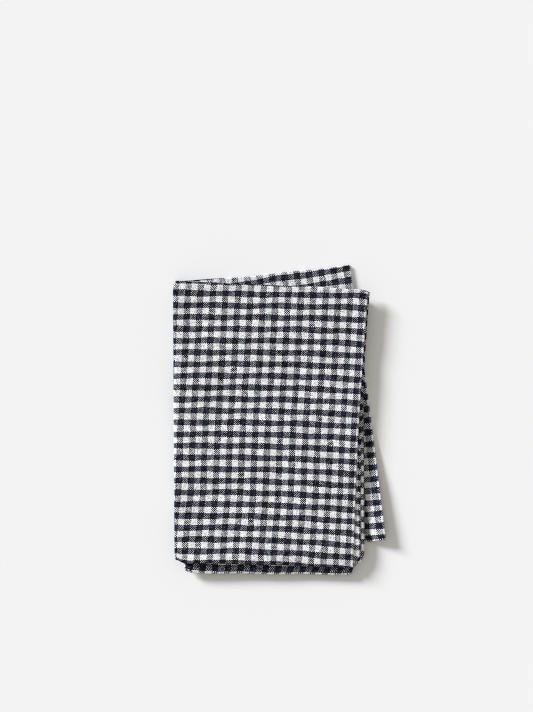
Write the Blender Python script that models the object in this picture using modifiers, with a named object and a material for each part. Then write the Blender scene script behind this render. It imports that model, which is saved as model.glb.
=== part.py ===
"""A checked tea towel, folded for the shelf.

The cloth is doubled along a crease at its foot and then folded back and forth into four panels, so it
lies as a packet of eight layers. The lowest panel has turned a few degrees about the packet's upper left
corner and looks out as a thin wedge above and at the right. Where a panel reaches past the lowest one,
it sags towards the surface below.

The packet lies on Z = 0, seen from above with +Y up the page and +X to the right. Lengths are in metres.
"""

import bpy
import numpy as np
from mathutils import Matrix

MM = 0.001

# Cloth and stack
THICKNESS = 1.10 * MM  # one layer, with the fullness of its weave
PITCH = 1.55 * MM  # from the middle of one layer to the middle of the next
PLY = PITCH / 2  # each ply lies this far from the middle of its doubled panel
TURN = PITCH  # radius of the middle of a doubled panel as it turns back

# Edge lines of the four panels, in the order in which the strip runs, in mm from the packet's upper left
# corner: across to the right, down towards the foot. The first and the last are the cloth's free ends,
# the others are folds, which bulge outwards from the line as the strip turns over.
# name, across and down at the top, across and down at the foot, bow to the right, how far the foot's
# rounded corner is drawn to the right, side of the packet
EDGES = [
    ("upper end", 174.2, 6.4, 160.8, 253.4, -2.0, 0.0, +1),
    ("upper fold", 2.9, 0.4, 4.0, 248.8, 0.0, 3.2, -1),
    ("middle fold", 166.6, 4.6, 168.4, 249.4, 0.0, -3.6, +1),
    ("lower fold", 3.4, -2.6, 14.4, 248.6, 0.0, 1.0, -1),
    ("lower end", 157.6, -18.0, 190.2, 229.0, 1.0, 0.0, +1),
]

# How each panel lies between its edge lines, from the top of the stack to the bottom.
# droop: how much later than evenly the panel's rows come down towards its right edge, as a power
# foot drop: how far the crease at its foot stands out between its two corners, in mm
# under out: how far the lower ply stands out past the upper one at a free end, in mm at top and foot
# sag: 1 where the panel sags past the lowest one
PANELS = [
    dict(name="top", droop=1.8, foot_drop=0.0, under_out=(0.9, 5.6), sag=1.0),
    dict(name="second", droop=1.0, foot_drop=9.4, under_out=(0.0, 0.0), sag=1.0),
    dict(name="third", droop=1.0, foot_drop=0.0, under_out=(0.0, 0.0), sag=1.0),
    dict(name="lowest", droop=1.0, foot_drop=0.0, under_out=(0.0, 0.0), sag=0.0),
]

# The two corners of a dropped foot, as shares of the panel's width from the left: where the crease
# begins to come down and where it is down
LEFT_CORNER = (0.008, 0.05)
RIGHT_CORNER = (0.985, 0.93)
END_CORNER = 0.045  # share of a panel's height over which a corner at its foot is rounded
SAG_DEPTH = 1.6 * PITCH  # how far the upper panels sink past the lowest one
SAG_START = 3 * MM  # how far past the lowest panel's edge they begin to sink
SAG_REACH = 20 * MM  # over how wide a strip they sink
WAVE_HEIGHT = 0.35 * MM  # how much the packet's straight edges wander
WAVE_LENGTH = 58 * MM
WAVE_SHIFT = 17 * MM  # from each panel to the next

# How finely the solid is cut up: shares of a panel's width from the left, more of them where a dropped
# foot has its corners, and shares of its height from the top
ACROSS = [0, 0.04, 0.3, 0.6, 0.84, 0.92, 0.96, 1]
ACROSS_DROPPED = [0, 0.012, 0.025, 0.037, 0.05, 0.1, 0.3, 0.6, 0.84, 0.93, 0.945, 0.96, 0.973, 0.986, 1]
DOWN = [0, 0.2, 0.45, 0.7, 0.88, 0.915, 0.94, 0.96, 0.975, 0.9875, 1]
FOLD_STEPS = 8
CREASE_STEPS = 6
NEARBY = 0.004  # share of a panel's width to either side, for finding which way its crease runs

NAVY_AND_WHITE = (0.32, 0.33, 0.36, 1.0)  # the checks' colour as seen from afar


def clear_scene():
    for item in list(bpy.data.objects):
        bpy.data.objects.remove(item, do_unlink=True)


def smooth_step(x):
    x = np.clip(x, 0.0, 1.0)
    return x * x * (3.0 - 2.0 * x)


def rounded(x):
    """Rises from 0 to 1 as a quarter of a circle does, steeply at first."""
    return np.sqrt(1.0 - (1.0 - np.clip(x, 0.0, 1.0)) ** 2)


def edge_points(edge, down):
    """Points of an edge line, at shares of the way down it."""
    _, top_x, top_y, foot_x, foot_y, bow, corner, _ = edge
    across = top_x + (foot_x - top_x) * down + bow * np.sin(np.pi * down)
    across = across + corner * np.clip(1.0 - (1.0 - down) / END_CORNER, 0.0, 1.0) ** 2
    below = top_y + (foot_y - top_y) * down
    return across * MM, -below * MM


def dropped_foot(from_left):
    """How much of a panel's foot drop there is at a share of its width from the left."""
    left = smooth_step((from_left - LEFT_CORNER[0]) / (LEFT_CORNER[1] - LEFT_CORNER[0]))
    right = smooth_step((RIGHT_CORNER[0] - from_left) / (RIGHT_CORNER[0] - RIGHT_CORNER[1]))
    return left * right


def strip_stations():
    """Stations along the folded strip: panel, share of its width from the left, angle turned in a fold."""
    stations = []
    for panel, lie in enumerate(PANELS):
        shares = np.array(ACROSS_DROPPED if lie["foot_drop"] else ACROSS)
        if EDGES[panel][-1] > 0:
            shares = shares[::-1]
        stations += [(panel, share, 0.0) for share in shares]
        if panel < len(PANELS) - 1:
            turns = np.linspace(0.0, np.pi, FOLD_STEPS + 1)[1:-1]
            stations += [(panel, shares[-1], turn) for turn in turns]
    return stations


def ply_stations():
    """Stations from the upper ply's top edge, round the crease at the foot, to the lower ply's top edge.

    Shares of the way down, angles turned in the crease, and 1 on the lower ply.
    """
    turns = np.linspace(0.0, np.pi, CREASE_STEPS + 1)[1:-1]
    down = np.concatenate([DOWN, np.ones(len(turns)), DOWN[::-1]])
    crease = np.concatenate([np.zeros(len(DOWN)), turns, np.full(len(DOWN), np.pi)])
    return down, crease, crease / np.pi


def sunk(x, y):
    """How much of the full sag there is at places past the lowest panel's right edge and foot."""
    inner, outer = EDGES[-2], EDGES[-1]
    top_x, top_y = edge_points(outer, 0.0)
    foot_x, foot_y = edge_points(outer, 1.0)
    inner_x, inner_y = edge_points(inner, 1.0)
    side = np.hypot(foot_x - top_x, foot_y - top_y)
    right = ((x - top_x) * (top_y - foot_y) + (y - top_y) * (foot_x - top_x)) / side
    base = np.hypot(foot_x - inner_x, foot_y - inner_y)
    below = ((x - inner_x) * (foot_y - inner_y) - (y - inner_y) * (foot_x - inner_x)) / base
    at_right = smooth_step((right - SAG_START) / SAG_REACH)
    at_foot = smooth_step((below - SAG_START) / SAG_REACH)
    return 1.0 - (1.0 - at_right) * (1.0 - at_foot)


def panel_plan(panel, from_left, down, lower):
    """Where points of a panel lie seen from above, between its two edge lines."""
    lie = PANELS[panel]
    left, right = sorted(EDGES[panel : panel + 2], key=lambda edge: edge[-1])
    left_x, left_y = edge_points(left, down)
    right_x, right_y = edge_points(right, down)
    x = left_x + (right_x - left_x) * from_left
    y = left_y + (right_y - left_y) * from_left ** lie["droop"]
    y -= lie["foot_drop"] * MM * dropped_foot(from_left) * down
    out_top, out_foot = lie["under_out"]
    out = (out_top + (out_foot - out_top) * down**2) * rounded((1.0 - down) / END_CORNER)
    x += lower * from_left * out * MM
    y += WAVE_HEIGHT * np.sin(2 * np.pi * (x - 2 * y + panel * WAVE_SHIFT) / WAVE_LENGTH)
    return x, y


def foot_direction(panel, from_left):
    """The way the crease at a panel's foot faces, seen from above, at right angles to the crease."""
    ends = np.clip([from_left - NEARBY, from_left + NEARBY], 0.0, 1.0)
    (x0, y0), (x1, y1) = [panel_plan(panel, end, 1.0, 0.5) for end in ends]
    length = np.hypot(x1 - x0, y1 - y0)
    return (y1 - y0) / length, (x0 - x1) / length


def cloth_surface():
    """The middle surface of the cloth: a grid of points along the strip and round its two plies."""
    down, crease, lower = ply_stations()
    rows = []
    for panel, from_left, turn in strip_stations():
        x, y = panel_plan(panel, from_left, down, lower)
        facing_x, facing_y = foot_direction(panel, from_left) if turn == 0.0 else (0.0, -1.0)
        x = x + PLY * np.sin(crease) * facing_x
        y = y + PLY * np.sin(crease) * facing_y
        # Each fold turns the strip over, so the upper ply of one panel is the lower one of the next.
        offset = PLY * np.cos(crease) * (1.0 if panel % 2 == 0 else -1.0)
        middle = (2 * (len(PANELS) - 1 - panel) + 0.5) * PITCH + THICKNESS / 2
        z = middle + offset
        sag = PANELS[panel]["sag"]
        if turn > 0.0:
            radius = TURN + offset
            x = x + EDGES[panel + 1][-1] * radius * np.sin(turn)
            z = middle - TURN + radius * np.cos(turn)
            sag += (PANELS[panel + 1]["sag"] - sag) * turn / np.pi
        z = z - sag * SAG_DEPTH * sunk(x, y)
        rows.append(np.stack([x, y, z], axis=-1))
    return np.array(rows)


def cloth_mesh(points):
    """A mesh of the grid."""
    along, round_plies = points.shape[:2]
    corners = points.reshape(-1, 3)
    numbers = np.arange(along * round_plies).reshape(along, round_plies)
    quads = np.stack(
        [numbers[:-1, :-1], numbers[1:, :-1], numbers[1:, 1:], numbers[:-1, 1:]],
        axis=-1,
    ).reshape(-1, 4)
    mesh = bpy.data.meshes.new("towel")
    mesh.from_pydata(corners.tolist(), [], quads.tolist())
    mesh.update()
    return mesh


def cloth_material():
    material = bpy.data.materials.new("navy and white cotton")
    material.use_nodes = True
    shader = material.node_tree.nodes["Principled BSDF"]
    shader.inputs["Base Color"].default_value = NAVY_AND_WHITE
    shader.inputs["Roughness"].default_value = 0.9
    shader.inputs["Metallic"].default_value = 0.0
    return material


def centre_on_origin(item):
    """Moves an object's mesh so that the finished solid's box is centred over the origin."""
    depsgraph = bpy.context.evaluated_depsgraph_get()
    box = np.array(item.evaluated_get(depsgraph).bound_box)
    middle = (box.min(axis=0) + box.max(axis=0)) / 2
    item.data.transform(Matrix.Translation((-middle[0], -middle[1], 0.0)))


def make_towel(collection):
    mesh = cloth_mesh(cloth_surface())
    mesh.shade_smooth()
    towel = bpy.data.objects.new("towel", mesh)
    towel.data.materials.append(cloth_material())
    collection.objects.link(towel)
    shell = towel.modifiers.new("cloth thickness", "SOLIDIFY")
    shell.thickness = THICKNESS
    shell.offset = 0.0
    centre_on_origin(towel)


def main():
    clear_scene()
    collection = bpy.data.collections.new("folded tea towel")
    bpy.context.scene.collection.children.link(collection)
    make_towel(collection)


main()
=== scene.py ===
import math

import bpy
import numpy as np
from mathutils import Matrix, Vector


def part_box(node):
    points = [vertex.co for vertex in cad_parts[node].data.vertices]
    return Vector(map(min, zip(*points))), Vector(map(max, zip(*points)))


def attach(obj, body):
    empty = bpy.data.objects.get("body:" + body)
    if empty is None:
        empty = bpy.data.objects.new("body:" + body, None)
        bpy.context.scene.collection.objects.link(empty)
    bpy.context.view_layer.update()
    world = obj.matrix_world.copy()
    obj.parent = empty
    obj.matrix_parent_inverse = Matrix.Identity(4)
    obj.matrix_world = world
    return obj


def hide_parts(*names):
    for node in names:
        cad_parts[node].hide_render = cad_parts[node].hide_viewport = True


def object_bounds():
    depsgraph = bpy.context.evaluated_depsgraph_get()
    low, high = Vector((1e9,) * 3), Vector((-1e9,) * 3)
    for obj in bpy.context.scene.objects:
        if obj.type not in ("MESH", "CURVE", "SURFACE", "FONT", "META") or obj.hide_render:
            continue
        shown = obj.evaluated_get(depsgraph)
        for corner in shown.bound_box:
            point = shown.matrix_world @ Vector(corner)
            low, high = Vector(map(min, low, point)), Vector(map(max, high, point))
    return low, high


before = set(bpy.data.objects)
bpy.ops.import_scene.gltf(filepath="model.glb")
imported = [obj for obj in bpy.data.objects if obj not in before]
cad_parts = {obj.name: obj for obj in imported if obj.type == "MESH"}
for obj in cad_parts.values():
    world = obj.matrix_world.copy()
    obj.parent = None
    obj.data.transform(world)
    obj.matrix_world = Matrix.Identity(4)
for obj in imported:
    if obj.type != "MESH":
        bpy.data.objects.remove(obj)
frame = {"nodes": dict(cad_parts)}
cadLow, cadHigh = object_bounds()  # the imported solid's box
print("frame loaded:", ", ".join(frame["nodes"]))

mm = 0.001

# Lengths in mm. Places are measured from the packet's upper left corner, to the right and down, as in a
# plan. Each panel is two plies joined by the crease at its foot, and the strip of panels runs from the
# upper free end to the lower one.
towel = {
    "flat": (500.0, 670.0),  # width and length before it was folded
    "place": (-94.47, 121.70),  # where the packet's upper left corner lies in the frame
    "thickness": 1.15,
    "pitch": 1.42,  # from the middle of one layer to the middle of the next
    "lift": 0.55,  # the middle of the lowest layer above the table
    "panel": (165.0, 250.0),  # about how wide and high a panel is
    "reach": (172.0, 252.0),  # how far the packet's right edge and foot are from its upper left corner
    "edgeRound": 0.6,  # how far in from a free edge the cloth is rounded off
    "sagDepth": 2.5,  # how far the upper panels sink past the lowest one
    "sagStart": 3.0,  # how far past its edge they begin to
    "sagReach": 20.0,  # over how wide a strip
    "corner": 0.045,  # share of a panel's height over which a corner at its foot is rounded
    "cornerWidth": 0.05,  # and over which share of its width
}

# The lines between which the panels lie, in the order in which the strip runs: top and foot of the
# line, how far it bows to the right, how far its foot corner is drawn to the right and up, and the
# packet's side, 1 for right and -1 for left.
edgeLines = [
    # upper end
    {"top": (174.2, 5.2), "foot": (160.7, 253.9), "bow": -1.9, "corner": (0.0, 0.0), "side": 1},
    # upper fold
    {"top": (0.9, -0.6), "foot": (2.3, 249.6), "bow": 0.0, "corner": (0.8, 2.6), "side": -1},
    # middle fold
    {"top": (166.6, 10.6), "foot": (168.4, 249.4), "bow": 0.0, "corner": (-3.6, 0.0), "side": 1},
    # lower fold
    {"top": (3.0, -3.6), "foot": (14.4, 248.6), "bow": 0.0, "corner": (1.0, 0.0), "side": -1},
    # lower end
    {"top": (157.6, -18.0), "foot": (190.2, 229.0), "bow": 1.0, "corner": (0.0, 0.0), "side": 1},
]

# How each panel lies between its lines, from the top of the packet down. droop: how late its rows
# come down or up towards the right, as a power, at top and foot. footDrop: how far its crease stands
# out between its corners, at left and right. underOut: how far the second ply stands out past the
# first at the free end, at top and foot. sag: 1 where the panel sinks past the lowest one.
panels = [
    {"droop": (2.4, 1.2), "footDrop": (0.0, 0.0), "underOut": (1.5, 7.0), "sag": 1.0},
    {"droop": (1.0, 1.0), "footDrop": (8.6, 11.1), "underOut": (0.0, 0.0), "sag": 1.0},
    {"droop": (1.28, 1.0), "footDrop": (0.0, 0.0), "underOut": (0.0, 0.0), "sag": 1.0},
    {"droop": (1.4, 1.0), "footDrop": (0.0, 0.0), "underOut": (0.0, 0.0), "sag": 0.0},
]
# Where a dropped foot comes down, in shares of the panel's width: the start, the end of the steep
# step and the end of all of it. step: the share of the drop that the steep step takes.
footCorners = {"left": (0.036, 0.044, 0.090), "right": (0.970, 0.963, 0.950), "step": 0.8}

# Soft waves in the cloth: wavelength, direction in degrees from across, height at the top of the
# packet and phase in turns. They grow with the height above the table.
waves = [
    (74.0, 62.0, 0.26, 0.15),
    (58.0, -24.0, 0.22, 0.60),
    (39.0, 118.0, 0.15, 0.35),
    (33.0, 12.0, 0.13, 0.85),
    (27.0, 78.0, 0.10, 0.05),
    (22.0, -48.0, 0.07, 0.50),
]
# One more wave, by which each ply lies a little unlike its neighbours. direction: how it runs, across
# and down. growth: how soon it has its full height above the table.
plyWave = {"height": 0.08, "length": 46.0, "shift": 19.0, "direction": (0.8, -0.6), "growth": 8.0}
outline = {"wave": 0.35, "length": 58.0, "shift": 17.0}  # how the packet's straight edges wander
# The packet is thicker towards its top, foot and right edge: how much, and over how wide a strip
rims = {"top": (1.2, 35.0), "foot": (1.1, 45.0), "right": (1.0, 30.0)}
rimEnd = 1.1  # how far the rise goes on past the edge, where 1 is at the edge
rightDip = {"depth": 1.1, "from": 25.0, "over": 45.0}  # what the right rim loses again, from which row
cornerDip = {"depth": 1.7, "reach": 52.0}  # how much lower the left foot corner lies
foldBulge = {"height": 0.7, "reach": 1.5}  # the middle fold stands up where nothing lies on it
topCorner = {"drawn": 2.4, "share": 0.05}  # how far the top panel's upper right corner is drawn down
# The lowest panel's foot corner stands up: how high, from which share of the way down and from how
# far across, over how wide a strip
wedgeLift = {"height": 5.7, "start": 0.45, "edge": 168.5, "reach": 20.0}

checks = {
    "across": 11.25,  # a dark and a light check, along the strip
    "down": 10.53,  # and round the plies
    "threads": 6,  # in one of them
    "endLine": 0.3,  # the light line at each free end
    "repeats": 59,  # how many whole ones lie between the two free ends, besides half a one
}
# How the checks lie on the top ply, as shifts in mm along the strip and round the plies: a row for
# each place from the free end (0) to the upper fold (1), and a column for each share of the way down
topPlaces = (0.0, 0.1, 0.34, 0.65, 0.97, 1.0)
topAlong = {
    "down": (0.0, 0.27, 0.51, 0.75, 0.83, 0.91, 1.0),
    "shift": [
        (-2.3, -1.6, -2.0, -2.0, -2.4, -2.6, -2.3),
        (-1.3, 0.4, 0.5, 0.7, 0.2, -0.2, -1.4),
        (-1.1, 0.7, 0.35, 1.15, 0.6, -0.4, -1.4),
        (-1.4, 0.05, 0.1, 0.5, -0.25, -1.35, -2.1),
        (-1.7, 0.3, 0.4, 1.0, -0.8, -2.3, -3.3),
        (-1.7, 0.3, 0.4, 1.0, -0.8, -1.6, -1.3),
    ],
}
topRound = {
    "down": (0.0, 0.1, 0.27, 0.51, 0.75, 1.0),
    "shift": [
        (7.8, 7.1, 5.9, 5.2, 4.1, 2.5),
        (7.2, 6.95, 6.0, 5.3, 4.55, 3.4),
        (4.55, 5.7, 5.7, 5.6, 5.25, 4.95),
        (4.2, 4.4, 4.8, 5.0, 5.5, 5.6),
        (5.3, 4.4, 3.95, 4.3, 4.5, 4.2),
        (5.3, 4.4, 3.95, 4.3, 4.5, 4.2),
    ],
}
# And on the rest: the place along the strip in panels, then the shift on the first ply, on the second
# ply at the crease, and at the second ply's top
restAlong = [
    (0.0, 0.0, 4.8, 0.8),
    (0.1, 0.0, 4.8, 0.8),
    (1.0, -2.6, -2.6, 0.0),
    (1.036, -2.6, -2.6, 0.0),
    (1.046, -3.6, -3.6, 0.0),
    (1.075, -6.0, -6.0, 0.0),
    (1.12, -6.1, -6.1, 0.0),
    (1.25, -5.6, -5.6, 0.0),
    (1.40, -5.35, -5.35, 0.0),
    (1.54, -4.5, -4.5, 0.0),
    (1.67, -3.55, -3.55, 0.0),
    (1.80, -2.95, -2.95, 0.0),
    (1.95, -1.7, -1.7, 0.0),
    (1.97, -5.0, -1.5, 0.75),
    (2.0, -5.0, -1.5, 0.75),
    (2.05, 0.0, 0.0, 0.0),
    (3.0, 0.0, 0.0, 0.2),
    (3.6, 0.0, 0.5, 0.2),
    (3.92, 0.0, 2.6, 0.6),
    (4.0, 0.0, 1.6, 0.4),
]
restRound = [
    (0.0, 0.0, 7.9, 4.5),
    (1.0, 0.0, -1.5, 0.0),
    (1.15, -0.4, -2.0, 0.0),
    (1.3, 0.1, -1.4, 0.0),
    (1.5, 0.0, -1.1, 0.0),
    (1.65, 0.4, -0.4, 0.0),
    (1.95, 0.2, -0.4, 0.0),
    (1.97, 0.0, -4.0, -8.8),
    (2.0, 0.0, -4.0, -8.8),
    (3.0, 0.0, 0.0, 5.5),
    (3.42, 0.0, 0.0, 1.85),
    (3.55, 0.0, 0.0, 0.4),
    (4.0, 0.0, 1.7, -1.5),
]
# over which share of a panel one shift turns into the next, past the upper fold and past the crease
shiftBlend = {"fold": 0.05, "crease": 0.04}

# How finely the cloth is cut up
mesh = {
    "across": 42,  # even steps across a panel
    "down": 60,  # and down it
    "fold": 11,  # steps round a fold
    "crease": 9,  # and round the crease
    "sides": (0.008, 0.016, 0.035, 0.06, 0.984, 0.992),  # more shares of the width, near the sides
    "border": (0.08, 0.25, 0.55, 1.0, 2.5),  # more stations at a free edge, in widths of its rounding
    "foot": (0.955, 11),  # more rows near the foot: from which share of the way down, how many
    "corner": (7, 6),  # stations along the two parts of a dropped foot's corner
    "near": 0.004,  # share of the width to either side, for the way the crease runs
}


def smoothStep(x):
    # 3x^2 - 2x^3 from 0 to 1, level at both ends
    x = np.clip(x, 0.0, 1.0)
    return x * x * (3.0 - 2.0 * x)


def quarterRound(x):
    # rises from 0 to 1 as a quarter of a circle does
    return np.sqrt(1.0 - (1.0 - np.clip(x, 0.0, 1.0)) ** 2)


def footCut(down):
    # 0 above a foot corner and 1 at the foot, as a parabola
    return np.clip(1.0 - (1.0 - down) / towel["corner"], 0.0, 1.0) ** 2


def edgePoints(line, down):
    # a straight line from top to foot, plus half a sine for its bow and a parabola at its foot corner
    (topX, topY), (footX, footY) = line["top"], line["foot"]
    across = topX + (footX - topX) * down + line["bow"] * np.sin(np.pi * down)
    return across + line["corner"][0] * footCut(down), topY + (footY - topY) * down


def footDropped(fromLeft):
    # 0 at a panel's sides, then a steep step of most of the drop, and the rest of it as a parabola
    total = 1.0
    for side in ("left", "right"):
        start, step, end = footCorners[side]
        steep = smoothStep((fromLeft - start) / (step - start))
        rest = 1.0 - np.clip(1.0 - (fromLeft - start) / (end - start), 0.0, 1.0) ** 2
        total = total * steep * (footCorners["step"] + (1.0 - footCorners["step"]) * rest)
    return total


def underOut(number, down):
    # how far the second ply stands out past the first at the free end: a parabola from top to foot,
    # and a quarter circle back to nothing at the foot corner
    outTop, outFoot = panels[number]["underOut"]
    return (outTop + (outFoot - outTop) * down**2) * quarterRound((1.0 - down) / towel["corner"])


def panelPlan(number, fromLeft, down, second):
    # points between a panel's two edge lines, its rows drooping to the right as a power of the share,
    # its foot corners drawn up, its crease dropped, the second ply standing out past the free end, and
    # a sine wave over it all
    lie = panels[number]
    left, right = sorted(edgeLines[number:number + 2], key=lambda line: line["side"])
    leftX, leftY = edgePoints(left, down)
    rightX, rightY = edgePoints(right, down)
    x = leftX + (rightX - leftX) * fromLeft
    droop = lie["droop"][0] + (lie["droop"][1] - lie["droop"][0]) * down
    y = leftY + (rightY - leftY) * fromLeft ** droop
    for line, away in ((left, fromLeft), (right, 1.0 - fromLeft)):
        drawn = np.clip(1.0 - away / towel["cornerWidth"], 0.0, 1.0) ** 2
        y = y - line["corner"][1] * footCut(down) * drawn
    dropLeft, dropRight = lie["footDrop"]
    y = y + (dropLeft + (dropRight - dropLeft) * np.sqrt(fromLeft)) * footDropped(fromLeft) * down
    if number == 0:
        atRight = np.clip(1.0 - (1.0 - fromLeft) / topCorner["share"], 0.0, 1.0)
        atTop = np.clip(1.0 - down / topCorner["share"], 0.0, 1.0)
        y = y + topCorner["drawn"] * (atRight * atTop) ** 2
    x = x + second * fromLeft * underOut(number, down)
    turns = (x + 2 * y + number * outline["shift"]) / outline["length"]
    return x, y - outline["wave"] * np.sin(2 * np.pi * turns)


def footDirection(number, fromLeft):
    # the way the crease at a panel's foot faces in plan, from two points of the crease close together
    ends = [np.clip(fromLeft + step, 0.0, 1.0) for step in (-mesh["near"], mesh["near"])]
    (x0, y0), (x1, y1) = [panelPlan(number, end, 1.0, 0.5) for end in ends]
    length = np.hypot(x1 - x0, y1 - y0)
    return (y0 - y1) / length, (x1 - x0) / length


def sunk(x, y):
    # 0 over the lowest panel and 1 well past its right edge or foot, a smooth step of the distance
    inner, outer = edgeLines[-2], edgeLines[-1]
    (topX, topY), (footX, footY), (innerX, innerY) = outer["top"], outer["foot"], inner["foot"]
    side = math.hypot(footX - topX, footY - topY)
    right = ((x - topX) * (footY - topY) - (y - topY) * (footX - topX)) / side
    base = math.hypot(footX - innerX, footY - innerY)
    below = ((y - innerY) * (footX - innerX) - (x - innerX) * (footY - innerY)) / base
    atRight = smoothStep((right - towel["sagStart"]) / towel["sagReach"])
    atFoot = smoothStep((below - towel["sagStart"]) / towel["sagReach"])
    return 1.0 - (1.0 - atRight) * (1.0 - atFoot)


def relief(x, y, z, layer):
    # the sum of the sine waves, the rims as parabolas and the dips as smooth steps, all times the share
    # of the packet's height, plus the layer's own small sine wave
    top = (2 * len(panels) - 1) * towel["pitch"] + towel["lift"]
    total = 0.0
    for length, angle, height, phase in waves:
        across, down = math.cos(math.radians(angle)), math.sin(math.radians(angle))
        total = total + height * np.sin(2 * np.pi * ((x * across + y * down) / length + phase))
    inside = {"top": y, "foot": towel["reach"][1] - y, "right": towel["reach"][0] - x}
    atLeft = smoothStep(1.0 - x / cornerDip["reach"])
    atFoot = smoothStep(1.0 - inside["foot"] / cornerDip["reach"])
    total = total - cornerDip["depth"] * atLeft * atFoot
    lost = {"right": rightDip["depth"] * smoothStep((y - rightDip["from"]) / rightDip["over"])}
    for side, (height, reach) in rims.items():
        risen = np.clip(1.0 - inside[side] / reach, 0.0, rimEnd) ** 2
        total = total + (height - lost.get(side, 0.0)) * risen
    across, down = plyWave["direction"]
    turns = (x * across + y * down + layer * plyWave["shift"]) / plyWave["length"]
    share = np.clip((z - towel["lift"]) / (top - towel["lift"]), 0.0, 1.0)
    grown = np.minimum(share * plyWave["growth"], 1.0)
    return share * total + grown * plyWave["height"] * np.sin(2 * np.pi * turns)


def stationShares(number):
    # shares of a panel's width: even steps, closer at its sides, a free end and a dropped foot's corners
    shares = [np.linspace(0.0, 1.0, mesh["across"]), mesh["sides"]]
    if number in (0, len(panels) - 1):
        shares.append(1.0 - towel["edgeRound"] / towel["panel"][0] * np.array(mesh["border"]))
    if max(panels[number]["footDrop"]) > 0:
        steep, gentle = mesh["corner"]
        for start, step, end in (footCorners["left"], footCorners["right"]):
            shares += [np.linspace(start, step, steep), np.linspace(step, end, gentle)]
            shares.append([2 * start - step])  # one more on the flat side of the step
    return np.unique(np.round(np.concatenate(shares), 5))


def stripStations():
    # along the strip: panel, share of its width from the left, angle turned in the fold after it
    panel, fromLeft, turn = [], [], []
    turns = np.linspace(0.0, np.pi, mesh["fold"] + 1)[1:-1]
    for number in range(len(panels)):
        shares = stationShares(number)
        if edgeLines[number]["side"] > 0:
            shares = shares[::-1]
        folded = turns if number < len(panels) - 1 else turns[:0]
        panel.append(np.full(len(shares) + len(folded), number))
        fromLeft += [shares, np.full(len(folded), shares[-1])]
        turn += [np.zeros(len(shares)), folded]
    return np.concatenate(panel), np.concatenate(fromLeft), np.concatenate(turn)


def plyStations():
    # from the first ply's top edge down, round the crease at the foot, and up the second ply
    border = towel["edgeRound"] / towel["panel"][1] * np.array(mesh["border"])
    start, count = mesh["foot"]
    even = np.linspace(0.0, 1.0, mesh["down"])
    down = np.unique(np.concatenate([even, border, np.linspace(start, 1.0, count)]))
    turns = np.linspace(0.0, np.pi, mesh["crease"] + 1)[1:-1]
    shares = np.concatenate([down, np.ones(len(turns)), down[::-1]])
    crease = np.concatenate([np.zeros(len(down)), turns, np.full(len(down), np.pi)])
    return shares, crease


def panelSurface(number, fromLeft, turn, down, crease):
    # one panel and the fold after it: its plan, half a circle round the crease at its foot between the
    # two plies, half a circle round the fold to the next panel, then its sag, bulge or lift as smooth
    # steps, and the relief
    ply = towel["pitch"] / 2
    x, y = panelPlan(number, fromLeft, down, crease / np.pi)
    facingX, facingY = footDirection(number, fromLeft)
    inFold = turn > 0.0
    x = x + ply * np.sin(crease) * np.where(inFold, 0.0, facingX)
    y = y + ply * np.sin(crease) * np.where(inFold, 1.0, facingY)
    offset = ply * np.cos(crease) * (1.0 if number % 2 == 0 else -1.0)  # each fold turns the strip over
    middle = (2 * (len(panels) - 1 - number) + 0.5) * towel["pitch"] + towel["lift"]
    radius = towel["pitch"] + offset
    after = min(number + 1, len(panels) - 1)
    x = x + edgeLines[after]["side"] * radius * np.sin(turn)
    z = np.where(inFold, middle - towel["pitch"] + radius * np.cos(turn), middle + offset)
    sag = panels[number]["sag"] + (panels[after]["sag"] - panels[number]["sag"]) * turn / np.pi
    z = z - sag * towel["sagDepth"] * sunk(x, y)
    if number == 1:
        past = x - panelPlan(0, 1.0, down, 1.0)[0]
        # most at the fold's top and on the second ply, as half cosines
        upper = (1.0 + np.cos(turn)) / 2 * (1.0 - np.cos(crease)) / 2
        z = z + foldBulge["height"] * upper * smoothStep(past / foldBulge["reach"])
    if number == len(panels) - 1:
        low = smoothStep((down - wedgeLift["start"]) / (1.0 - wedgeLift["start"]))
        z = z + wedgeLift["height"] * low * smoothStep((x - wedgeLift["edge"]) / wedgeLift["reach"])
    z = z + relief(x, y, z, number + crease / np.pi)
    return np.stack(np.broadcast_arrays(x, -y, z), axis=-1)


def interpolated(place, down, places, table):
    # a table's values between its places and its shares of the way down
    rows = np.stack([np.interp(down, table["down"], row) for row in table["shift"]])
    return np.stack([np.interp(place, places, column) for column in rows.T], axis=1)


def checkShift(place, ply, top, rest):
    # the one table on the top panel's first ply and the other elsewhere, joined by smooth steps
    rest = np.array(rest)
    first, atCrease, atTop = [np.interp(place, rest[:, 0], rest[:, k])[:, None] for k in (1, 2, 3)]
    onTop = interpolated(np.clip(place, 0.0, 1.0), np.clip(ply, 0.0, 1.0), topPlaces, top)
    pastFold = smoothStep((place - 1.0) / shiftBlend["fold"])[:, None]
    second = atCrease + (atTop - atCrease) * np.clip(ply - 1.0, 0.0, 1.0)[None, :]
    pastCrease = smoothStep((ply - 1.0) / shiftBlend["crease"])[None, :]
    return (onTop + (first - onTop) * pastFold) * (1.0 - pastCrease) + second * pastCrease


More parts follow.
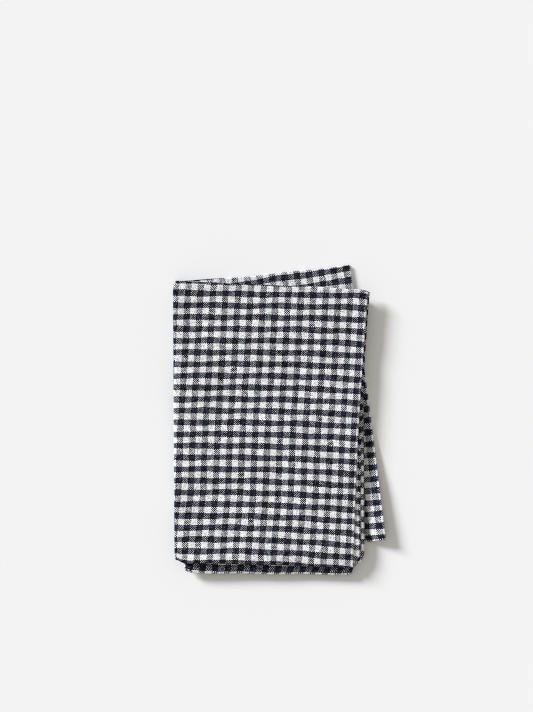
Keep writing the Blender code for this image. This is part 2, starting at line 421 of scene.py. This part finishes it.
def clothPlaces(points, panel, fromLeft, turn, down, crease):
    # the flat cloth's own coordinates: the length along the strip, measured over the surface, and the
    # length round the plies from the first ply's top edge, each with its shift
    steps = np.linalg.norm(np.diff(points, axis=0), axis=2)
    along = np.concatenate([np.zeros((1, len(down))), np.cumsum(steps, axis=0)])
    side = np.array([edgeLines[number]["side"] for number in panel])
    place = panel + np.where(turn > 0, 1.0, np.where(side > 0, 1.0 - fromLeft, fromLeft))
    # the second ply is skewed where it stands out, not longer
    along = along - np.clip(place, 0.0, 1.0)[:, None] * (underOut(0, down) * crease / np.pi)[None, :]
    # both free ends cut the pattern alike, and what is over or short between them goes to the two
    # panels that hardly show
    length = checks["across"] * (checks["repeats"] + 0.5) + 2 * checks["endLine"]
    hidden = np.clip((place - 1.0) / 2.0, 0.0, 1.0)[:, None]
    along = along + hidden * (length - along[-1])[None, :] - checks["endLine"]

    height = towel["panel"][1]
    fold = np.pi * towel["pitch"] / 2
    inCrease = (crease > 0) & (crease < np.pi)
    around = np.where(crease < np.pi / 2, down * height, 2 * height + fold - down * height)
    around = np.where(inCrease, height + fold * crease / np.pi, around)
    ply = np.where(around < height, around / height, 1.0 + (around - height) / (height + fold))
    u = along + checkShift(place, ply, topAlong, restAlong)
    v = around[None, :] + checkShift(place, ply, topRound, restRound)
    print("the strip is", np.round(along[-1].mean() + checks["endLine"], 1), "mm long")
    return u, v


def twoSkins(points):
    # half the thickness to either side of the middle surface, down to nothing at its border as a quarter
    # circle, so that the two skins meet there
    steps = np.linalg.norm(np.diff(points, axis=0), axis=2).mean(axis=1)
    fromStart = np.concatenate([[0.0], np.cumsum(steps)])
    steps = np.linalg.norm(np.diff(points, axis=1), axis=2).mean(axis=0)
    fromTop = np.concatenate([[0.0], np.cumsum(steps)])
    alongEnds = np.minimum(fromStart, fromStart[-1] - fromStart)[:, None]
    roundEnds = np.minimum(fromTop, fromTop[-1] - fromTop)[None, :]
    normal = np.cross(np.gradient(points, axis=0), np.gradient(points, axis=1))
    normal /= np.linalg.norm(normal, axis=2, keepdims=True)
    half = quarterRound(np.minimum(alongEnds, roundEnds) / towel["edgeRound"]) * towel["thickness"] / 2
    return points + normal * half[..., None], points - normal * half[..., None]


def towelMesh():
    # the whole cloth as one grid of points along the strip and round its plies, made a closed sheet
    # of two skins
    panel, fromLeft, turn = stripStations()
    down, crease = plyStations()
    points = np.concatenate([
        panelSurface(number, fromLeft[panel == number][:, None], turn[panel == number][:, None],
                     down[None, :], crease[None, :])
        for number in range(len(panels))
    ])
    places = np.stack(clothPlaces(points, panel, fromLeft, turn, down, crease), axis=-1)
    upper, under = twoSkins(points)
    rows, columns = points.shape[:2]
    numbers = np.arange(rows * columns).reshape(rows, columns)
    inner = numbers.copy()  # the under skin shares the border's points
    inside = np.arange((rows - 2) * (columns - 2)).reshape(rows - 2, columns - 2)
    inner[1:-1, 1:-1] = rows * columns + inside
    corners = np.concatenate([upper.reshape(-1, 3), under[1:-1, 1:-1].reshape(-1, 3)])
    places = np.concatenate([places.reshape(-1, 2), places[1:-1, 1:-1].reshape(-1, 2)])

    def quads(grid, flip):
        ring = [grid[:-1, :-1], grid[1:, :-1], grid[1:, 1:], grid[:-1, 1:]]
        return np.stack(ring[::-1] if flip else ring, axis=-1).reshape(-1, 4)

    faces = np.concatenate([quads(numbers, False), quads(inner, True)])
    # laid on the solid it stands for, with no point below the solid's underside
    raised = max(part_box("towel")[0].z - corners[:, 2].min() * mm, 0.0)
    corners = corners * mm + [towel["place"][0] * mm, towel["place"][1] * mm, raised]

    data = bpy.data.meshes.new("foldedTowel")
    data.from_pydata(corners.tolist(), [], faces.tolist())
    layer = data.uv_layers.new(name="clothPlace")
    loops = np.empty(len(data.loops), dtype=np.int32)
    data.loops.foreach_get("vertex_index", loops)
    layer.data.foreach_set("uv", (places[loops] * mm).astype(np.float32).ravel())
    data.shade_smooth()
    data.update()
    size = np.ptp(corners, axis=0) / mm
    print("folded cloth:", len(faces) * 2, "triangles,", np.round(size, 1), "mm")
    return data


cotton = {
    "navy": (0.0120, 0.0130, 0.0240),
    "white": (0.945, 0.95, 0.98),
    "rowsOnTop": 0.20,  # how much more of the rows' threads shows than of the columns'
    "darkWider": 0.375,  # how much wider a dark thread is than a light one
    "softness": 0.05,  # how softly one thread gives way to the other
    "uneven": 0.5,  # how much one crossing differs from the next in what shows
    "darkest": 0.12,  # how dark a dark thread is, as a share of the navy
    "darkTone": 5.0,  # how much lighter than that it can be in places
    "lightTone": 0.5,  # how much darker than white a light thread can be
    "seldom": 3.0,  # how seldom either is, as a power
    "darkPaintedShade": 0.70,  # painted shade: how much darker the columns' dark threads are made, as shade where they lie deeper than the rows'
    "lightPaintedShade": 0.16,  # and the painted shade on their light threads
    "gapShade": 0.12,  # how dark the cloth is between threads
    "wander": 0.0016,  # how far threads stray from their straight lines, in m
    "wanderScale": 150.0,  # how often they do, in a metre
    "crown": 0.6,  # how full a thread's crown is: 1 for a sine, less for a flatter top
    "relief": 0.00012,  # height of the crown, in m
    "roughness": 0.92,
    "sheen": 0.05,
    "sheenRoughness": 0.5,
    "gloss": 0.12,
}


def nodeMaker(tree):
    # short ways to add and join a tree's nodes
    def plug(value, socket):
        if isinstance(value, bpy.types.NodeSocket):
            tree.links.new(value, socket)
        elif value is not None:
            socket.default_value = value

    def calc(operation, a, b=None, c=None):
        node = tree.nodes.new("ShaderNodeMath")
        node.operation = operation
        for value, socket in zip((a, b, c), node.inputs):
            plug(value, socket)
        return node.outputs[0]

    def noise(vector, scale):
        node = tree.nodes.new("ShaderNodeTexNoise")
        plug(vector, node.inputs["Vector"])
        plug(scale, node.inputs["Scale"])
        return node

    def mixColor(factor, a, b, blend="MIX"):
        node = tree.nodes.new("ShaderNodeMix")
        node.data_type = "RGBA"
        node.blend_type = blend
        plug(factor, node.inputs["Factor"])
        plug(a, node.inputs[6])  # the two colours and the mixed one have no names of their own
        plug(b, node.inputs[7])
        return node.outputs[2]

    def combine(x, y, z=0.0):
        node = tree.nodes.new("ShaderNodeCombineXYZ")
        for value, socket in zip((x, y, z), node.inputs):
            plug(value, socket)
        return node.outputs[0]

    def separate(vector):
        node = tree.nodes.new("ShaderNodeSeparateXYZ")
        tree.links.new(vector, node.inputs[0])
        return node.outputs

    return plug, calc, noise, mixColor, combine, separate


def checkedWeaveGroup():
    # plain weave: rows and columns of threads, each dark or light by its number, the one or the other
    # on top by the sign of the product of two sines, whose size is also the height of the crown
    tree = bpy.data.node_groups.new("checkedWeave", "ShaderNodeTree")
    tree.interface.new_socket(name="Place", in_out="INPUT", socket_type="NodeSocketVector")
    for name in ("Dark", "Light"):
        tree.interface.new_socket(name=name, in_out="INPUT", socket_type="NodeSocketColor")
    for name in ("Across", "Down", "Threads", "Rows On Top", "Dark Wider", "Softness", "Uneven",
                 "Darkest", "Dark Tone", "Light Tone", "Seldom", "Dark Painted Shade", "Light Painted Shade", "Gap Shade",
                 "Wander", "Wander Scale", "Crown"):
        tree.interface.new_socket(name=name, in_out="INPUT", socket_type="NodeSocketFloat")
    tree.interface.new_socket(name="Color", in_out="OUTPUT", socket_type="NodeSocketColor")
    tree.interface.new_socket(name="Height", in_out="OUTPUT", socket_type="NodeSocketFloat")
    plug, calc, noise, mixColor, combine, separate = nodeMaker(tree)
    given = tree.nodes.new("NodeGroupInput").outputs
    out = tree.nodes.new("NodeGroupOutput").inputs

    # yarns don't run quite straight
    stray = separate(noise(given["Place"], given["Wander Scale"]).outputs["Color"])
    place = separate(given["Place"])
    u = calc("MULTIPLY_ADD", calc("SUBTRACT", stray[0], 0.5), given["Wander"], place[0])
    v = calc("MULTIPLY_ADD", calc("SUBTRACT", stray[1], 0.5), given["Wander"], place[1])

    # counted in threads
    repeat = calc("MULTIPLY", given["Threads"], 2.0)
    columns = calc("MULTIPLY", calc("DIVIDE", u, given["Across"]), repeat)
    rows = calc("MULTIPLY", calc("DIVIDE", v, given["Down"]), repeat)
    crown = calc("MULTIPLY", calc("SINE", calc("MULTIPLY", columns, math.pi)),
                 calc("SINE", calc("MULTIPLY", rows, math.pi)))
    crossing = tree.nodes.new("ShaderNodeTexWhiteNoise")
    crossing.noise_dimensions = "2D"
    plug(combine(calc("FLOOR", columns), calc("FLOOR", rows)), crossing.inputs["Vector"])
    chance = separate(crossing.outputs["Color"])

    def isDark(count):
        # dark for the first half of each repeat
        number = calc("ADD", calc("FLOOR", count), 0.5)
        return calc("LESS_THAN", calc("FRACT", calc("DIVIDE", number, repeat)), 0.5)

    darkColumn, darkRow = isDark(columns), isDark(rows)
    wider = calc("MULTIPLY", calc("SUBTRACT", darkRow, darkColumn), given["Dark Wider"])
    shown = calc("ADD", calc("ADD", crown, given["Rows On Top"]), wider)
    shown = calc("MULTIPLY_ADD", calc("SUBTRACT", chance[0], 0.5), given["Uneven"], shown)
    top = tree.nodes.new("ShaderNodeMapRange")
    top.interpolation_type = "SMOOTHSTEP"
    plug(shown, top.inputs["Value"])
    plug(calc("MULTIPLY", given["Softness"], -1.0), top.inputs["From Min"])
    plug(given["Softness"], top.inputs["From Max"])
    dark = calc("MULTIPLY_ADD", calc("SUBTRACT", darkRow, darkColumn), top.outputs[0], darkColumn)
    color = mixColor(dark, given["Light"], given["Dark"])
    # each crossing has its own tone: dark yarn lighter in places, light yarn darker
    seldom = calc("POWER", chance[1], given["Seldom"])
    darkTone = calc("MULTIPLY_ADD", seldom, given["Dark Tone"], given["Darkest"])
    lightTone = calc("SUBTRACT", 1.0, calc("MULTIPLY", seldom, given["Light Tone"]))
    tone = calc("MULTIPLY_ADD", calc("SUBTRACT", darkTone, lightTone), dark, lightTone)
    # painted shade: the columns' threads lie deeper than the rows' and are darkened as if shaded
    paintedShadeSpread = calc("SUBTRACT", given["Dark Painted Shade"], given["Light Painted Shade"])
    paintedShade = calc("MULTIPLY_ADD", paintedShadeSpread, dark, given["Light Painted Shade"])
    under = calc("SUBTRACT", 1.0, top.outputs[0])
    tone = calc("MULTIPLY", tone, calc("SUBTRACT", 1.0, calc("MULTIPLY", paintedShade, under)))
    # rounded crowns, with shade between them
    height = calc("POWER", calc("ABSOLUTE", crown), given["Crown"])
    shade = calc("SUBTRACT", 1.0, calc("MULTIPLY", given["Gap Shade"], calc("SUBTRACT", 1.0, height)))
    tone = calc("MULTIPLY", tone, shade)
    plug(mixColor(1.0, color, combine(tone, tone, tone), "MULTIPLY"), out["Color"])
    plug(height, out["Height"])
    return tree


def checkedCotton():
    material = bpy.data.materials.new("checkedCotton")
    material.use_nodes = True
    tree = material.node_tree
    shader = tree.nodes["Principled BSDF"]
    place = tree.nodes.new("ShaderNodeUVMap")
    place.uv_map = "clothPlace"
    weave = tree.nodes.new("ShaderNodeGroup")
    weave.node_tree = checkedWeaveGroup()
    values = {
        "Dark": (*cotton["navy"], 1.0),
        "Light": (*cotton["white"], 1.0),
        "Across": checks["across"] * mm,
        "Down": checks["down"] * mm,
        "Threads": checks["threads"],
        "Rows On Top": cotton["rowsOnTop"],
        "Dark Wider": cotton["darkWider"],
        "Softness": cotton["softness"],
        "Uneven": cotton["uneven"],
        "Darkest": cotton["darkest"],
        "Dark Tone": cotton["darkTone"],
        "Light Tone": cotton["lightTone"],
        "Seldom": cotton["seldom"],
        "Dark Painted Shade": cotton["darkPaintedShade"],
        "Light Painted Shade": cotton["lightPaintedShade"],
        "Gap Shade": cotton["gapShade"],
        "Wander": cotton["wander"],
        "Wander Scale": cotton["wanderScale"],
        "Crown": cotton["crown"],
    }
    for name, value in values.items():
        weave.inputs[name].default_value = value
    tree.links.new(place.outputs["UV"], weave.inputs["Place"])
    tree.links.new(weave.outputs["Color"], shader.inputs["Base Color"])
    bump = tree.nodes.new("ShaderNodeBump")
    bump.inputs["Distance"].default_value = cotton["relief"]
    tree.links.new(weave.outputs["Height"], bump.inputs["Height"])
    tree.links.new(bump.outputs["Normal"], shader.inputs["Normal"])
    shader.inputs["Roughness"].default_value = cotton["roughness"]
    shader.inputs["Specular IOR Level"].default_value = cotton["gloss"]
    shader.inputs["Sheen Weight"].default_value = cotton["sheen"]
    shader.inputs["Sheen Roughness"].default_value = cotton["sheenRoughness"]
    return material


def makeTowel():
    piece = bpy.data.objects.new("checkedTowel", towelMesh())
    bpy.context.scene.collection.objects.link(piece)
    piece.data.materials.append(checkedCotton())
    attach(piece, "root")
    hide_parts("towel")
    print("towel woven")


studio = {
    "floorSize": 12.0,  # in m
    "floorDrop": 0.0001,  # how far the floor lies under the towel, in m
    "floorTone": 0.85,
    "floorLight": 1.0545,  # how bright white lies in the open light
    "key": (-1.95, 1.4, 1.0),  # where the light comes from: left, up the page and above
    "keyAngle": 17.0,  # how wide the light looks, in degrees
    "fill": (0.490, 0.479, 0.440),  # the room's light, a little warm
}
picture = {
    "size": (533, 712),
    "pixel": 0.0009,  # real size of a pixel at the towel's top, in m
    "centre": (-0.0119, 0.0573),  # the picture's centre in the frame
    "distance": 3.0,  # from the floor up to the camera, in m
    "farthest": 100.0,  # how far the camera sees, in m
    "sensor": 36.0,
    "filter": 1.1,  # how softly one pixel gives way to the next
}


def makeFloor():
    # one large square
    half, level = studio["floorSize"] / 2, -studio["floorDrop"]
    data = bpy.data.meshes.new("floor")
    corners = [(-half, -half, level), (half, -half, level), (half, half, level), (-half, half, level)]
    data.from_pydata(corners, [], [(0, 1, 2, 3)])
    floor = bpy.data.objects.new("floor", data)
    bpy.context.scene.collection.objects.link(floor)
    material = bpy.data.materials.new("paleFloor")
    material.use_nodes = True
    shader = material.node_tree.nodes["Principled BSDF"]
    shader.inputs["Base Color"].default_value = (*[studio["floorTone"]] * 3, 1.0)
    shader.inputs["Roughness"].default_value = 1.0
    shader.inputs["Specular IOR Level"].default_value = 0.0
    floor.data.materials.append(material)


def makeLight():
    # the key light makes up what the room's light leaves short of an evenly bright floor
    toKey = Vector(studio["key"]).normalized()
    lamp = bpy.data.lights.new("keyLight", "SUN")
    lamp.energy = math.pi / toKey.z
    lamp.color = [studio["floorLight"] - fill for fill in studio["fill"]]
    lamp.angle = math.radians(studio["keyAngle"])
    key = bpy.data.objects.new("keyLight", lamp)
    key.rotation_mode = "QUATERNION"
    key.rotation_quaternion = (-toKey).to_track_quat("-Z", "Y")
    bpy.context.scene.collection.objects.link(key)
    world = bpy.data.worlds.new("softRoom")
    world.use_nodes = True
    world.node_tree.nodes["Background"].inputs["Color"].default_value = (*studio["fill"], 1.0)
    bpy.context.scene.world = world


def makeCamera():
    # straight above, and the picture's own treatment
    width, height = picture["size"]
    data = bpy.data.cameras.new("camera")
    data.sensor_width = picture["sensor"]
    away = picture["distance"] - cadHigh.z
    data.lens = picture["sensor"] * away / (max(width, height) * picture["pixel"])
    data.clip_end = picture["farthest"]
    camera = bpy.data.objects.new("camera", data)
    camera.location = (*picture["centre"], picture["distance"])
    bpy.context.scene.collection.objects.link(camera)
    bpy.context.scene.camera = camera
    bpy.context.scene.view_settings.view_transform = "Standard"
    bpy.context.scene.cycles.denoising_prefilter = "NONE"  # keeps the threads crisp
    bpy.context.scene.cycles.filter_width = picture["filter"]


makeTowel()
makeFloor()
makeLight()
makeCamera()
print("floor, light and camera set")
